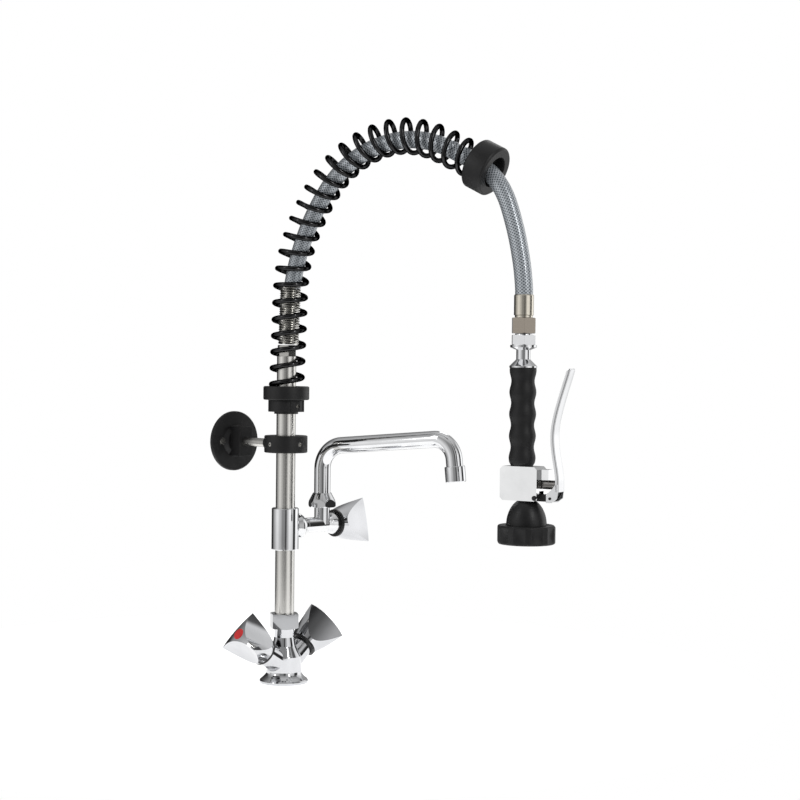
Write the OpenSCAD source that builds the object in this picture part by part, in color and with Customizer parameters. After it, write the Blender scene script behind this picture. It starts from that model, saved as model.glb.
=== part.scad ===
// Deck-mounted pre-rinse unit: two-handle mixer, riser with a side faucet, wall bracket,
// spring-guided hose and squeeze-lever spray valve.
// Origin: centre of the mixer's round foot, on the deck. +Z up, the wall is at +Y.

/* [Mixer] */
// Diameter of the foot
foot_d = 56; // [52:1:60]
// Height of the shoulder where the riser nut sits
column_top = 62; // [58:1:66]
// Rise of the hot handle's arm above the horizontal
hot_tilt = 33; // [32:1:34]
// Rise of the cold handle's arm above the horizontal
cold_tilt = 37; // [37:1:37]
// Height at which the arm axes cross the column
arm_root_z = 18; // [18:1:18]
// Diameter of the handle arms
arm_d = 25; // [24:0.5:25]

/* [Handles] */
// Diameter of the handle at its open mouth
mouth_d = 32; // [31.5:0.5:34]
// Radius of the three wing tips
tip_r = 30; // [28:1:32]
// Length from the mouth to the wing tips
wing_len = 35; // [34:1:38]

/* [Riser] */
// Outer diameter of the riser pipe
riser_d = 22; // [21.5:0.1:22.2]
// Height of the top of the riser pipe
riser_top = 373; // [368:1:376]
// Height of the side faucet's branch
branch_z = 178; // [172:1:184]

/* [Spout] */
// Outer diameter of the spout tube
spout_d = 19; // [18:0.5:19]
// Distance from the riser axis to the spout's pivot
spout_x = 57; // [55:1:60]
// Horizontal reach of the spout
spout_reach = 175; // [160:1:180]
// Direction of the spout seen from above
spout_az = -75; // [-90:5:-60]

/* [Wall bracket] */
// Distance from the riser axis to the wall
wall_y = 94; // [90:1:110]
// Height of the bracket rod
rod_z = 273; // [270:1:276]
// Diameter of the wall plate
plate_d = 70; // [66:1:76]

/* [Spring arch] */
// Direction of the arch seen from above
arch_az = -75; // [-90:5:-60]
// Outer diameter of the spring
spring_od = 41; // [39:0.5:42]
// Diameter of the spring wire
wire_d = 5.6; // [5:0.2:5.6]
// Distance between neighbouring coils
spring_pitch = 19.2; // [18.6:0.1:19.8]
// Outer diameter of the hose
hose_d = 19; // [17:0.5:19]

/* [Spray valve] */
// Horizontal distance from the riser axis to the hanging valve
valve_reach = 300; // [300:1:300]
// Length of the valve block
block_len = 43; // [42:1:45]
// Depth of the valve block
block_depth = 24; // [23:1:26]
// Diameter of the bumper ring
bumper_d = 62; // [59:1:64]
// Width of the lever
lever_w = 16; // [15.5:0.5:18]

/* [Hidden] */
$fn = 64;
gap = 0.3;
fit = 0.05;

// Foot, column and arms of the mixer
foot_edge_h = 4;
waist_z = 13;
waist_r = 20.5;
column_r = 11.5;
mouth_at = 38;
arm_end = mouth_at + 3;
headwork_r = 10;
headwork_in = 16;
inlet_x = 11;
inlet_r = 4.5;
stud_y = 11;
stud_hole_r = 3.4;
thread_h = 15;
spindle_r = 4;
spindle_in = 12;

// Handle
mouth_r = mouth_d / 2;
ring_h = 2.6;
ring_in_r = arm_d / 2 + 0.4;
dome_h = 8;
scoop_r = 77;
scoop_lean = 12.35;
scoop_mouth_r = 18.2;
hub_hollow_r = 13;
index_r = 6.5;
index_h = 1.6;
screw_head_r = 4;
screw_r = 2;
hot_turn = 5;
cold_turn = 63;
side_turn = 78;

// Riser, nut and side faucet
riser_r = riser_d / 2;
riser_in_r = riser_r - 1.5;
riser_foot = column_top - 14;
nut_h = 17;
nut_af = 30;
nut_z = column_top;
sleeve_r = 15.5;
sleeve_h = 48;
sleeve_z = branch_z - 26;
branch_r = 8.5;
side_body_x = 30;
side_mouth_x = 78.6;
neck_r = 9;
neck_top = branch_z + 25;
spout_base_z = neck_top + 1;
cone_nut_h = 16.5;
nut_base_z = neck_top - 5;
washer_h = 0.6;
slip_r = 6;

// Spout tube
spout_r = spout_d / 2;
leg_bend_r = 28;
leg_top = 243;
run_slope = 5;
end_bend_r = 24;
outlet_tilt = 6;
aerator_r = 11.5;
aerator_h = 18;
outlet_len = 8;
lap = 0.4;
lap_step = 0.02;
// Height of the outlet's end, where the aerator starts
outlet_z = leg_top + leg_bend_r * cos(run_slope)
    + tan(run_slope) * (spout_reach - leg_bend_r + leg_bend_r * sin(run_slope)
        - end_bend_r * (sin(run_slope) + cos(outlet_tilt)) - outlet_len * sin(outlet_tilt))
    - end_bend_r * cos(run_slope) + end_bend_r * sin(outlet_tilt) - outlet_len * cos(outlet_tilt);

// Wall bracket
plate_h = 4;
boss_w = 19;
boss_len = 19;
boss_h = 34;
rod_r = 5;
clamp_r = 24.7;
clamp_h = 19.4;
stub_r = 7.5;
stub_end = 32;
wall_screw_x = 20;
wall_screw_r = 2.2;

// Lower spring mount
collar_z = 307.5;
collar_lip_h = 2.5;
collar_r = 20.5;
collar_screw_z = collar_z + 9;
seat_z = 323.5;
seat_h = 15.5;
seat_r = 26.25;
spring_z0 = 329.4;

// Spring centreline: a leaning rise, two arcs given as [radius, turn], and a straight fall to the end cap
coil_r = (spring_od - wire_d) / 2;
rise_lean = 2.2;
rise_len = 91;
arcs = [[252, 34], [127, 81]];
fall_len = 45.5;
flex_s = 197.1;
arcs_end_s = rise_len + (arcs[0][0] * arcs[0][1] + arcs[1][0] * arcs[1][1]) * PI / 180;
cap_s = arcs_end_s + fall_len;
cap_half = 12.5;
cap_r = 27.5;
cap_bore_r = 15.5;
cap_mouth_r = 17;
cap_recess_r = spring_od / 2 + 0.8;
cap_floor = 3;
spring_end_s = cap_s - cap_floor - wire_d / 2;
spring_steps = 12;
wire_sides = 6;

// Hose: it follows the spring's centreline into the end cap, then a free route,
// given in the arch plane as distance from the riser axis and height
hose_r = hose_d / 2;
hose_sides = 12;
sleeve_end_s = 124;
hose_gap = 2.6;
drop_route = [
    [228, 590], [243, 581.6], [256, 572.8], [266, 562.5], [274.5, 550], [282, 532.8],
    [291, 502.5], [297, 473], [299.7, 450], [300, 440.6]
];
swing_at = 4;

// Spray valve heights, top to bottom
ferrule_top = 440.6;
ferrule_h = 24;
dark_nut_h = 16.8;
valve_nut_top = 398.1;
disc_top = 387.5;
neck_h = 10;
neck_z = 372.3;
grip_top = 363.7;
grip_bottom = 259.6;
grip_mean_r = 13.3;
grip_wave = 1;
grip_pitch = 23.2;
grip_crest_z = 268.1;
block_top = 259.6;
block_bottom = 223.5;
block_shift = 1.5;
head_reach = 306;
dome_top = 223.5;
dome_r = 21.5;
bumper_top = 197.4;
bumper_bottom = 177.4;
flat_r = bumper_d / 2 - 0.7;
face_r = 16;
ledge_h = 10;

// Squeeze lever, in the arch plane
plunger_z = 241;
plunger_r = 4.8;
return_coil_r = 3.6;
pin_x = 320.5;
pin_z = 227;
pin_r = 1.5;
rivet_x = 336.5;
rivet_z = 227;
rivet_r = 1.5;
lever_t = 1.5;
flange_t = 1.2;
flange_depth = 3.6;
lever_top_w = 12.5;
lever_top = [357.8, 362.6];
lever_bend = [340.2, 299];
lever_low = [346, 247];
lever_heel = [346, 234];
lever_toe = [338.5, 222.5];
link_w = 10;
slot_w = 11;
ear_x = 332;

// ---------- helpers ----------

function unit(v) = v / norm(v);
// [point, heading] at distance s along the arcs from the i-th on, entered at p with heading a
function follow(s, i, p, a) =
    i == len(arcs) ? [p + s * [cos(a), sin(a)], a]
    : let (
        r = arcs[i][0],
        run = r * arcs[i][1] * PI / 180,
        b = a - min(s, run) / r * 180 / PI,
        q = p + r * [sin(a) - sin(b), cos(b) - cos(a)]
    ) s <= run ? [q, b] : follow(s - run, i + 1, q, b);
function rise_point(s) = [s * sin(rise_lean), spring_z0 + s * cos(rise_lean)];
function path_at(s) =
    s < rise_len ? [rise_point(s), 90 - rise_lean]
    : follow(s - rise_len, 0, rise_point(rise_len), 90 - rise_lean);
function path_point(s) = path_at(s)[0];
function path_angle(s) = path_at(s)[1];
function in_plane(p) = [p[0], 0, p[1]];
function coil_phase(s) = 360 * (s - flex_s) / spring_pitch - 90;
function coil_point(s) =
    let (a = path_angle(s), f = coil_phase(s))
    in_plane(path_point(s)) + coil_r * (cos(f) * [-sin(a), 0, cos(a)] - sin(f) * [0, 1, 0]);

// Blend of four neighbouring route points, t running 0 to 1 between the middle two
function spline(p0, p1, p2, p3, t) =
    0.5 * (2 * p1 + (p2 - p0) * t + (2 * p0 - 5 * p1 + 4 * p2 - p3) * t * t
        + (3 * p1 - p0 - 3 * p2 + p3) * t * t * t);

// Rings of a round tube of radius r along path; refs are vectors never parallel to it
function tube_rings(path, refs, r, sides) = [
    for (i = [0:len(path) - 1])
        let (
            t = unit(path[min(i + 1, len(path) - 1)] - path[max(i - 1, 0)]),
            u = unit(cross(refs[i], t)),
            v = cross(t, u)
        )
        for (k = [0:sides - 1]) path[i] + r * (cos(360 * k / sides) * u + sin(360 * k / sides) * v)
];
function tube_faces(rings, sides) = concat(
    [[for (k = [0:sides - 1]) k]],
    [for (i = [0:rings - 2], k = [0:sides - 1])
        [i * sides + k, (i + 1) * sides + k, (i + 1) * sides + (k + 1) % sides]],
    [for (i = [0:rings - 2], k = [0:sides - 1])
        [i * sides + k, (i + 1) * sides + (k + 1) % sides, i * sides + (k + 1) % sides]],
    [[for (k = [sides - 1:-1:0]) (rings - 1) * sides + k]]
);

module tube(path, refs, r, sides) {
    polyhedron(points = tube_rings(path, refs, r, sides), faces = tube_faces(len(path), sides));
}

module coil(s0, s1) {
    steps = ceil((s1 - s0) / spring_pitch * spring_steps);
    ss = [for (i = [0:steps]) s0 + (s1 - s0) * i / steps];
    tube(
        [for (s = ss) coil_point(s)],
        [for (s = ss) in_plane([cos(path_angle(s)), sin(path_angle(s))])],
        wire_d / 2, wire_sides
    );
}

module hose_along(points) {
    tube([for (p = points) in_plane(p)], [for (p = points) [0, 1, 0]], hose_r, hose_sides);
}

// A ring with a rectangular section
module ring(r_out, r_in, h) {
    difference() {
        cylinder(r = r_out, h = h);
        translate([0, 0, -1]) cylinder(r = r_in, h = h + 2);
    }
}

module hex_bar(af, h) {
    cylinder(r = af / sqrt(3), h = h, $fn = 6);
}

// Hexagonal nut with turned, bevelled corners and a through bore
module hex_nut(af, h, bore_r, bevel = 1.2) {
    corner = af / sqrt(3);
    difference() {
        intersection() {
            hex_bar(af, h);
            rotate_extrude() polygon([
                [0, 0], [corner - bevel, 0], [corner, bevel * 0.6],
                [corner, h - bevel * 0.6], [corner - bevel, h], [0, h]
            ]);
        }
        translate([0, 0, -1]) cylinder(r = bore_r, h = h + 2);
    }
}

module in_arch() {
    rotate([0, 0, arch_az]) children();
}

module at_valve(z) {
    in_arch() translate([valve_reach, 0, z]) children();
}

module at_head(z) {
    in_arch() translate([head_reach, 0, z]) children();
}

// Frame with +Z along the arm: side is -1 for hot, +1 for cold
module on_arm(side) {
    tilt = side < 0 ? hot_tilt : cold_tilt;
    translate([0, 0, arm_root_z]) rotate([0, side * (90 - tilt), 0]) children();
}

module on_branch() {
    translate([0, 0, branch_z]) rotate([0, 90, 0]) children();
}

module on_spout() {
    translate([spout_x, 0, 0]) rotate([0, 0, spout_az]) children();
}

// ---------- mixer ----------

// O-rings under the riser and in the sleeve, and the washer under the spout
module seals() {
    color("black") {
        translate([0, 0, riser_foot - 3]) ring(9.6, 6, 3);
        for (z = [sleeve_z + 8, sleeve_z + sleeve_h - 10])
            translate([0, 0, z]) ring(riser_r, riser_r - 0.8, 2);
        translate([spout_x, 0, neck_top]) ring(neck_r, slip_r + gap, washer_h);
    }
}

module deck_seal() {
    color("dimgray") ring(24, 20, 2);
}

module mixer_body() {
    color("gainsboro") difference() {
        union() {
            rotate_extrude() polygon(concat(
                [[0, 0], [foot_d / 2, 0], [foot_d / 2, foot_edge_h - 1.5]],
                [for (i = [0:6]) let (t = i / 6)
                    [waist_r + (foot_d / 2 - 1 - waist_r) * pow(1 - t, 2),
                        foot_edge_h + (waist_z - foot_edge_h) * t]],
                [[waist_r - 1, 30], [column_r + 2, 42], [column_r, 52], [column_r, column_top],
                    [0, column_top]]
            ));
            for (side = [-1, 1]) on_arm(side) {
                cylinder(r1 = 15.5, r2 = arm_d / 2, h = arm_end - 6);
                cylinder(r = arm_d / 2, h = arm_end);
            }
        }
        translate([0, 0, -40]) cylinder(r = 60, h = 40);
        translate([0, 0, -1]) ring(24, 20, 3);
        for (side = [-1, 1]) {
            on_arm(side) translate([0, 0, arm_end - headwork_in]) cylinder(r = headwork_r, h = 40);
            on_arm(side) cylinder(r = 5, h = 30);
            translate([side * inlet_x, 0, -1]) cylinder(r = inlet_r, h = thread_h + 1);
            translate([side * inlet_x, 0, 1]) cylinder(r = inlet_r - 1, h = 26);
        }
        translate([0, -stud_y, -1]) cylinder(r = stud_hole_r, h = thread_h + 1);
        translate([0, 0, 18]) cylinder(r = 6, h = 60);
        translate([0, 0, riser_foot - 3]) cylinder(r = 9.6, h = 40);
    }
}

module headwork() {
    difference() {
        union() {
            translate([0, 0, arm_end - headwork_in]) cylinder(r = headwork_r, h = headwork_in);
            translate([0, 0, arm_end]) cylinder(r = 8.5, h = 3);
        }
        translate([0, 0, arm_end - spindle_in - 1]) cylinder(r = spindle_r + fit, h = 40);
        translate([0, 0, 0]) cylinder(r = 3, h = 40);
    }
}

module hot_headwork() {
    color("goldenrod") on_arm(-1) headwork();
}

module cold_headwork() {
    color("goldenrod") on_arm(1) headwork();
}

module spindle() {
    difference() {
        translate([0, 0, arm_end - spindle_in]) cylinder(r = spindle_r, h = spindle_in + 24);
        translate([0, 0, arm_end + 12]) cylinder(r = screw_r, h = 40);
    }
}

module hot_spindle() {
    color("goldenrod") on_arm(-1) spindle();
}

module cold_spindle() {
    color("goldenrod") on_arm(1) spindle();
}

// Three-winged handle, mouth at z = 0, wing tips at z = wing_len
module winged_handle() {
    top = wing_len + dome_h;
    ball_r = (tip_r * tip_r + dome_h * dome_h) / (2 * dome_h);
    scoop_x = scoop_mouth_r + scoop_r / cos(scoop_lean);
    difference() {
        intersection() {
            cylinder(r1 = mouth_r, r2 = mouth_r + (tip_r - mouth_r) * top / wing_len, h = top);
            translate([0, 0, top - ball_r]) sphere(r = ball_r, $fn = 96);
        }
        for (a = [0:120:240]) rotate([0, 0, a + 60]) translate([scoop_x, 0, 0])
            rotate([0, -scoop_lean, 0]) translate([0, 0, -40]) cylinder(r = scoop_r, h = 140, $fn = 128);
        translate([0, 0, -1]) cylinder(r = hub_hollow_r, h = 5);
        translate([0, 0, -1]) cylinder(r = 9, h = 10);
        translate([0, 0, -1]) cylinder(r = spindle_r, h = 28);
        cylinder(r = screw_r, h = top + 1);
        translate([0, 0, top - 8]) cylinder(r = screw_head_r, h = 20);
        translate([0, 0, top - index_h]) cylinder(r = index_r, h = 20);
    }
}

module hot_handle() {
    color("gainsboro") on_arm(-1) translate([0, 0, mouth_at]) rotate([0, 0, hot_turn])
        winged_handle();
}

module cold_handle() {
    color("gainsboro") on_arm(1) translate([0, 0, mouth_at]) rotate([0, 0, cold_turn])
        winged_handle();
}

module mouth_ring() {
    translate([0, 0, -ring_h]) ring(mouth_r, ring_in_r, ring_h);
}

module hot_ring() {
    color("black") on_arm(-1) translate([0, 0, mouth_at]) mouth_ring();
}

module cold_ring() {
    color("black") on_arm(1) translate([0, 0, mouth_at]) mouth_ring();
}

module index_disc() {
    translate([0, 0, wing_len + dome_h - index_h]) cylinder(r = index_r, h = index_h - 0.2);
}

module hot_index() {
    color("red") on_arm(-1) translate([0, 0, mouth_at]) index_disc();
}

module cold_index() {
    color("blue") on_arm(1) translate([0, 0, mouth_at]) index_disc();
}

module handle_screw() {
    top = wing_len + dome_h;
    translate([0, 0, top - 8]) cylinder(r = screw_head_r - 0.2, h = 3);
    translate([0, 0, 18]) cylinder(r = screw_r, h = top - 26);
}

module hot_screw() {
    color("silver") on_arm(-1) translate([0, 0, mouth_at]) handle_screw();
}

module cold_screw() {
    color("silver") on_arm(1) translate([0, 0, mouth_at]) handle_screw();
}

// ---------- riser ----------

module riser_nut() {
    color("gainsboro") translate([0, 0, nut_z]) hex_nut(nut_af, nut_h, riser_r);
}

module riser() {
    color("silver") difference() {
        union() {
            translate([0, 0, nut_z]) cylinder(r = riser_r, h = riser_top - nut_z);
            translate([0, 0, riser_foot]) cylinder(r = 9.6, h = nut_z - riser_foot);
        }
        translate([0, 0, riser_foot - 1]) cylinder(r = 7, h = riser_top);
        translate([0, 0, nut_z + 2]) cylinder(r = riser_in_r, h = riser_top);
        on_branch() cylinder(r = 4, h = 20);
        for (z = [sleeve_z + 8, sleeve_z + sleeve_h - 10])
            translate([0, 0, z]) ring(riser_r + 1, riser_r - 0.8, 2);
    }
}

module tee_sleeve() {
    color("gainsboro") difference() {
        translate([0, 0, sleeve_z]) rotate_extrude() polygon([
            [riser_r, 0], [sleeve_r - 1, 0], [sleeve_r, 1],
            [sleeve_r, sleeve_h - 1], [sleeve_r - 1, sleeve_h], [riser_r, sleeve_h]
        ]);
        on_branch() cylinder(r = 6, h = 30);
    }
}

// Round flared boss that carries the branch out of the sleeve
module branch_boss() {
    color("gainsboro") difference() {
        on_branch() rotate_extrude() polygon(concat(
            [[4, 8], [6, 8], [6, 11], [12, 11]],
            [for (i = [0:8]) let (a = 90 * i / 8)
                [branch_r + 6.5 * cos(a), 16 + 9 * sin(a)]],
            [[branch_r, 30], [6, 30], [6, 38], [4, 38]]
        ));
        translate([0, 0, sleeve_z - 1]) difference() {
            cylinder(r = sleeve_r, h = sleeve_h + 2);
            translate([0, 0, branch_z - sleeve_z + 1]) rotate([0, 90, 0])
                cylinder(r = 6, h = 40);
        }
        translate([0, 0, sleeve_z - 1]) cylinder(r = riser_r, h = sleeve_h + 2);
    }
}

module side_valve() {
    body_len = side_mouth_x + 3 - side_body_x;
    color("gainsboro") difference() {
        union() {
            translate([side_body_x, 0, 0]) on_branch() rotate_extrude() polygon([
                [0, 0], [branch_r - 1, 0], [branch_r, 1], [branch_r, body_len - 20],
                [branch_r + 2.5, body_len - 15], [arm_d / 2, body_len - 10],
                [arm_d / 2, body_len], [0, body_len]
            ]);
            translate([spout_x, 0, branch_z]) cylinder(r = neck_r, h = neck_top - branch_z);
        }
        on_branch() cylinder(r = 6, h = 38);
        on_branch() cylinder(r = 4, h = 60);
        translate([side_mouth_x - 9, 0, 0]) on_branch() cylinder(r = 7.5, h = 20);
        translate([spout_x, 0, branch_z]) cylinder(r = 4, h = 40);
        translate([spout_x, 0, neck_top - 12]) cylinder(r = slip_r, h = 20);
    }
}

module side_headwork() {
    color("goldenrod") translate([side_mouth_x, 0, 0]) on_branch() difference() {
        union() {
            translate([0, 0, -9]) cylinder(r = 7.5, h = 12);
            translate([0, 0, 3]) cylinder(r = 8.5, h = 3);
        }
        translate([0, 0, -7]) cylinder(r = spindle_r + fit, h = 40);
        translate([0, 0, -10]) cylinder(r = 3, h = 40);
    }
}

module side_spindle() {
    color("goldenrod") translate([side_mouth_x, 0, 0]) on_branch() difference() {
        translate([0, 0, -6]) cylinder(r = spindle_r, h = 33);
        translate([0, 0, 15]) cylinder(r = screw_r, h = 40);
    }
}

module side_handle() {
    color("gainsboro") translate([side_mouth_x, 0, 0]) on_branch() rotate([0, 0, side_turn])
        winged_handle();
}

module side_ring() {
    color("black") translate([side_mouth_x, 0, 0]) on_branch() mouth_ring();
}

module side_index() {
    color("gainsboro") translate([side_mouth_x, 0, 0]) on_branch() index_disc();
}

module side_screw() {
    color("silver") translate([side_mouth_x, 0, 0]) on_branch() handle_screw();
}

// ---------- spout ----------

module spout_nut() {
    color("gainsboro") translate([spout_x, 0, nut_base_z]) difference() {
        intersection() {
            hex_bar(29, cone_nut_h);
            rotate_extrude() polygon([
                [0, 0], [15, 0], [16.7, 1.5], [16.7, 5], [spout_r + 1.2, cone_nut_h], [0, cone_nut_h]
            ]);
        }
        translate([0, 0, -1]) cylinder(r = neck_r, h = 30);
        translate([0, 0, neck_top - nut_base_z]) cylinder(r = spout_r + gap, h = 30);
    }
}

// Quarter-like bend that starts on the face at the origin, heading +Z, and turns toward +X
module bend(turn_r, turn) {
    translate([turn_r, 0, 0]) rotate([-90, 180, 0])
        rotate_extrude(angle = turn) translate([turn_r, 0]) circle(r = spout_r);
}

// Straight tube, a hair thinner than the bends, whose ends lap into them
module straight(len) {
    translate([0, 0, -lap]) cylinder(r = spout_r - lap_step, h = len + 2 * lap);
}

module spout_line() {
    run_from = [leg_bend_r, leg_top] + leg_bend_r * [-sin(run_slope), cos(run_slope)];
    bend_reach = end_bend_r * (sin(run_slope) + cos(outlet_tilt));
    run_reach = spout_reach - run_from[0] - bend_reach - outlet_len * sin(outlet_tilt);
    run_len = run_reach / cos(run_slope);
    run_to = run_from + [run_reach, run_reach * tan(run_slope)];
    translate([0, 0, spout_base_z]) cylinder(r = spout_r, h = leg_top - spout_base_z);
    translate([0, 0, leg_top]) bend(leg_bend_r, 90 - run_slope);
    translate(in_plane(run_from)) rotate([0, 90 - run_slope, 0]) straight(run_len);
    translate(in_plane(run_to)) rotate([0, 90 - run_slope, 0])
        bend(end_bend_r, 90 + run_slope - outlet_tilt);
    translate([spout_reach, 0, outlet_z]) rotate([0, -outlet_tilt, 0])
        cylinder(r = spout_r - lap_step, h = outlet_len + lap);
}

module spout() {
    color("gainsboro") on_spout() difference() {
        union() {
            spout_line();
            translate([0, 0, spout_base_z - 12]) cylinder(r = slip_r - fit, h = 12);
        }
        translate([0, 0, spout_base_z - 13]) cylinder(r = 4, h = 30);
    }
}

module aerator() {
    color("silver") on_spout() translate([spout_reach, 0, outlet_z]) rotate([0, 180 - outlet_tilt, 0])
        rotate_extrude() polygon([
            [0, 0], [spout_r, 0], [aerator_r - 0.6, 0], [aerator_r, 0.6],
            [aerator_r, aerator_h - 1], [aerator_r - 1, aerator_h], [8.5, aerator_h],
            [8.5, aerator_h - 1.5], [0, aerator_h - 1.5]
        ]);
}

// ---------- wall bracket ----------

module wall_plate() {
    color("black") difference() {
        union() {
            translate([0, wall_y, rod_z]) rotate([90, 0, 0]) rotate_extrude() polygon([
                [0, 0], [plate_d / 2, 0], [plate_d / 2, plate_h - 1], [plate_d / 2 - 1, plate_h],
                [0, plate_h + 1]
            ]);
            translate([-boss_w / 2, wall_y - boss_len - plate_h, rod_z - boss_h / 2])
                cube([boss_w, boss_len + plate_h, boss_h]);
            translate([0, wall_y - plate_h, rod_z]) rotate([90, 0, 0])
                cylinder(r1 = 19, r2 = 14, h = 4);
        }
        translate([0, wall_y - plate_h, rod_z]) rotate([90, 0, 0]) cylinder(r = rod_r, h = 60);
        for (x = [-wall_screw_x, wall_screw_x]) translate([x, wall_y + 1, rod_z])
            rotate([90, 0, 0]) {
                cylinder(r = wall_screw_r, h = 20);
                translate([0, 0, plate_h - 0.5]) cylinder(r = 4, h = 10);
            }
    }
}

module wall_screws() {
    color("silver") for (x = [-wall_screw_x, wall_screw_x]) translate([x, wall_y, rod_z])
        rotate([90, 0, 0]) {
            cylinder(r = wall_screw_r, h = plate_h - 0.5);
            translate([0, 0, plate_h - 0.5]) cylinder(r = 4, h = 1.5);
        }
}

module bracket_rod() {
    color("silver") translate([0, wall_y - plate_h, rod_z]) rotate([90, 0, 0])
        cylinder(r = rod_r, h = wall_y - plate_h - clamp_r - 1);
}

module riser_clamp() {
    color("black") difference() {
        union() {
            translate([0, 0, rod_z - clamp_h / 2]) rotate_extrude() polygon([
                [0, 0], [clamp_r - 0.8, 0], [clamp_r, 0.8],
                [clamp_r, clamp_h - 0.8], [clamp_r - 0.8, clamp_h], [0, clamp_h]
            ]);
            translate([0, stub_end, rod_z]) rotate([90, 0, 0]) cylinder(r = stub_r, h = 16);
        }
        cylinder(r = riser_r, h = 600);
        translate([0, wall_y, rod_z]) rotate([90, 0, 0])
            cylinder(r = rod_r, h = wall_y - clamp_r - 1);
        for (a = [0, 90, 270]) translate([0, 0, rod_z]) rotate([90, 0, a])
            cylinder(r = 2.5, h = 40);
    }
}

// Grub screw along +Z with a hexagonal socket in its outer end
module grub_screw(h) {
    difference() {
        cylinder(r = 2.5, h = h);
        translate([0, 0, h - 2.5]) hex_bar(2.5, 10);
    }
}

// Three in the bracket clamp and one in the spring clamp
module grub_screws() {
    color("silver") {
        for (a = [0, 90, 270]) translate([0, 0, rod_z]) rotate([90, 0, a])
            translate([0, 0, riser_r]) grub_screw(clamp_r - riser_r - 0.6);
        translate([0, 0, collar_screw_z]) rotate([90, 0, 0])
            translate([0, 0, riser_r]) grub_screw(collar_r - riser_r - 1.6);
    }
}

// ---------- lower spring mount ----------

module spring_clamp() {
    color("black") difference() {
        union() {
            translate([0, 0, collar_z]) cylinder(r = 13.7, h = collar_lip_h + 1);
            translate([0, 0, collar_z + collar_lip_h])
                cylinder(r = collar_r, h = seat_z - collar_z - collar_lip_h - gap);
            translate([-9.8, -collar_r + 1, collar_z + collar_lip_h])
                cube([19.6, 10, seat_z - collar_z - collar_lip_h - gap]);
        }
        cylinder(r = riser_r, h = 600);
        translate([0, 0, collar_screw_z]) rotate([90, 0, 0]) cylinder(r = 2.5, h = 40);
    }
}

module spring_seat() {
    color("black") translate([0, 0, seat_z]) rotate_extrude() polygon([
        [riser_r + fit, 0], [seat_r - 1, 0], [seat_r, 1], [seat_r, seat_h - 1],
        [seat_r - 1, seat_h], [cap_recess_r, seat_h], [cap_recess_r, 3], [riser_r + fit, 3]
    ]);
}

module hose_coupling() {
    color("silver") translate([0, 0, riser_top]) difference() {
        union() {
            hex_nut(19, 13, 7);
            translate([0, 0, -12]) cylinder(r = riser_in_r, h = 13);
        }
        translate([0, 0, -20]) cylinder(r = 7, h = 40);
    }
}

module hose_sleeve() {
    s0 = riser_top + 14 - spring_z0;
    h = sleeve_end_s - s0;
    n = 26;
    step = h / n;
    color("silver") in_arch() translate(in_plane(rise_point(s0))) rotate([0, rise_lean, 0])
        rotate_extrude() polygon(concat(
            [[7, 0]],
            [for (i = [0:n - 1], j = [0:1]) [j == 0 ? 11 : 12, step * (i + j * 0.5)]],
            [[11, h], [7, h]]
        ));
}

// ---------- spring and hose ----------

module spring_lower() {
    color("black") in_arch() coil(0, flex_s - 1.5);
}

module spring_upper() {
    color("black") in_arch() coil(flex_s + 1.5, spring_end_s);
}

module end_cap() {
    color("black") in_arch() translate(in_plane(path_point(cap_s)))
        rotate([0, 90 - path_angle(cap_s), 0]) rotate_extrude() polygon([
            [cap_bore_r, -cap_floor], [cap_recess_r, -cap_floor], [cap_recess_r, -cap_half],
            [cap_r - 1.5, -cap_half], [cap_r, 1.5 - cap_half], [cap_r, cap_half - 2],
            [cap_r - 2, cap_half], [cap_mouth_r, cap_half], [cap_bore_r, cap_floor]
        ]);
}

function route_point(i) = drop_route[min(max(i, 0), len(drop_route) - 1)];
// Point on the free route; u counts its listed points
function route_at(u) =
    let (i = min(floor(u), len(drop_route) - 2))
    spline(route_point(i - 1), route_point(i), route_point(i + 1), route_point(i + 2), u - i);
function route_run(u0, u1, n) = [for (i = [0:n]) route_at(u0 + (u1 - u0) * i / n)];

module hose_lower() {
    s0 = sleeve_end_s + 1.2;
    s1 = flex_s - hose_gap;
    color("slategray") in_arch() hose_along([for (i = [0:8]) path_point(s0 + (s1 - s0) * i / 8)]);
}

module hose_upper() {
    s0 = flex_s + hose_gap;
    s1 = arcs_end_s + 5;
    color("slategray") in_arch() hose_along(concat(
        [for (i = [0:16]) path_point(s0 + (s1 - s0) * i / 16)],
        route_run(0, swing_at - 0.12, 12)
    ));
}

module hose_drop() {
    color("slategray") in_arch() hose_along(route_run(swing_at + 0.12, len(drop_route) - 1, 14));
}

// ---------- spray valve ----------

module hose_ferrule() {
    color("goldenrod") at_valve(ferrule_top - ferrule_h) rotate_extrude() polygon([
        [7, 0], [9.5, 0], [9.5, 2], [10.5, 2.5], [10.5, ferrule_h - 1], [10, ferrule_h],
        [7, ferrule_h]
    ]);
}

module swivel_nut() {
    color("dimgray") at_valve(ferrule_top - ferrule_h - dark_nut_h) hex_nut(24, dark_nut_h - gap, 6);
}

module valve_nut() {
    h = valve_nut_top - disc_top;
    dark_nut_z = ferrule_top - ferrule_h - dark_nut_h;
    color("gainsboro") at_valve(disc_top) {
        hex_nut(24, h, 6);
        translate([0, 0, h]) ring(9, 6, dark_nut_z - gap - valve_nut_top);
    }
}

module handle_tube() {
    color("gainsboro") at_valve(0) rotate_extrude() polygon([
        [6, disc_top], [14, disc_top], [14, disc_top - 2.5], [7.5, neck_z + neck_h],
        [7.5, neck_z], [14.7, grip_top + 1.5], [14.7, grip_top], [8, grip_top], [8, block_top],
        [6, block_top]
    ]);
}

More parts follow.
